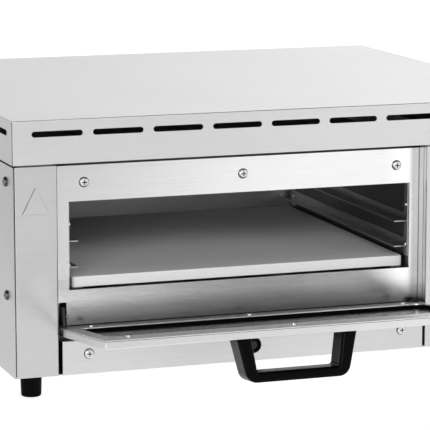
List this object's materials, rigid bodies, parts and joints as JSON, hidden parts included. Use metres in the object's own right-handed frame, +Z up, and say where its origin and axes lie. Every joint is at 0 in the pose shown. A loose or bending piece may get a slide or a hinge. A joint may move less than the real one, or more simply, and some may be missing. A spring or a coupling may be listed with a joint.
{
  "type": "countertop pizza oven",
  "caption": "Boxy steel countertop pizza oven with slotted lid, fireclay deck, tray ledges, drop-down door with black bow handle, rotary controls and rubber feet.",
  "frame": {"origin": "on the counter, under the middle of the casing", "axes": "+X to the oven's right as its user sees it, +Y from the door into the oven, +Z up"},
  "size_m": [0.5732, 0.6859, 0.2695],
  "materials": {
    "brushed_steel": "satin brushed",
    "satin_lid_steel": "smooth satin",
    "bright_screw_steel": "polished",
    "oven_steel": "dull, heat-worn",
    "aluminised_steel": "plain mill",
    "reflector_steel": "semi-bright",
    "black_steel": "black phosphated",
    "spring_steel": "oiled",
    "fireclay": "matt fired clay",
    "mineral_wool": "matt fibre",
    "fibre_board": "matt fibre",
    "fibre_seal": "matt woven",
    "black_rubber": "matt",
    "black_phenolic": "satin moulded",
    "control_plastic": "satin moulded",
    "white_ceramic": "unglazed",
    "heater_sheath": "oxidised",
    "copper_tube": "drawn",
    "sleeved_wire": "woven sleeve",
    "green_lens": "clear moulded",
    "amber_lens": "clear moulded"
  },
  "bodies": {
    "casing": {"top_cover": "satin_lid_steel", "left_side_panel": "brushed_steel", "right_side_panel": "brushed_steel", "left_pillar": "brushed_steel", "control_panel": "brushed_steel", "rear_panel": "brushed_steel", "base_pan": "aluminised_steel", "bottom_skirt": "brushed_steel", "skirt_buffer": "black_rubber", "buffer_screw": "black_steel", "feet": "black_rubber", "foot_screws": "bright_screw_steel", "casing_screws": "bright_screw_steel", "front_screws": "bright_screw_steel", "front_frame": "brushed_steel", "chamber_left_wall": "oven_steel", "chamber_right_wall": "oven_steel", "chamber_back_wall": "oven_steel", "chamber_ceiling": "oven_steel", "chamber_floor": "oven_steel", "baking_stone": "fireclay", "stone_ledges": "oven_steel", "left_tray_rack": "oven_steel", "right_tray_rack": "oven_steel", "rack_screws": "bright_screw_steel", "upper_heater": "heater_sheath", "lower_heater": "heater_sheath", "heater_supports": "oven_steel", "heater_bushes": "white_ceramic", "insulation_blankets": "mineral_wool", "hinge_pins": "bright_screw_steel", "door_spring": "spring_steel", "spring_anchor": "aluminised_steel", "heat_shield": "aluminised_steel", "thermostat_body": "control_plastic", "timer_body": "control_plastic", "selector_body": "control_plastic", "pilot_lamp_bodies": "control_plastic", "power_lamp_lens": "green_lens", "heating_lamp_lens": "amber_lens", "thermostat_capillary": "copper_tube", "wiring_loom": "sleeved_wire", "terminal_block": "white_ceramic", "cable_gland": "black_phenolic"},
    "door": {"door_outer_skin": "brushed_steel", "door_inner_frame": "brushed_steel", "door_reflector": "reflector_steel", "door_seal": "fibre_seal", "door_insulation": "fibre_board", "door_screws": "bright_screw_steel", "door_handle": "black_phenolic", "handle_screws": "bright_screw_steel", "hinge_arm_left": "black_steel", "hinge_arm_right": "black_steel"},
    "thermostat_control": {"thermostat_spindle": "bright_screw_steel", "thermostat_knob": "black_phenolic"},
    "timer_control": {"timer_spindle": "bright_screw_steel", "timer_knob": "black_phenolic"},
    "selector_control": {"selector_spindle": "bright_screw_steel", "selector_knob": "black_phenolic"}
  },
  "joints": [
    {"name": "door_hinge", "type": "hinge", "parent": "casing", "child": "door", "pos_m": [-0.238, -0.247, 0.0641], "axis": [-1, 0, 0], "range_deg": [0, 82.7], "deforming": ["door_spring"]},
    {"name": "thermostat_turn", "type": "hinge", "parent": "casing", "child": "thermostat_control", "pos_m": [0.21175, -0.26, 0.1855], "axis": [0, 1, 0], "range_deg": [0, 270]},
    {"name": "timer_turn", "type": "hinge", "parent": "casing", "child": "timer_control", "pos_m": [0.21175, -0.26, 0.1275], "axis": [0, 1, 0], "range_deg": [0, 300]},
    {"name": "selector_turn", "type": "hinge", "parent": "casing", "child": "selector_control", "pos_m": [0.21175, -0.26, 0.0695], "axis": [0, 1, 0], "range_deg": [0, 270]}
  ]
}
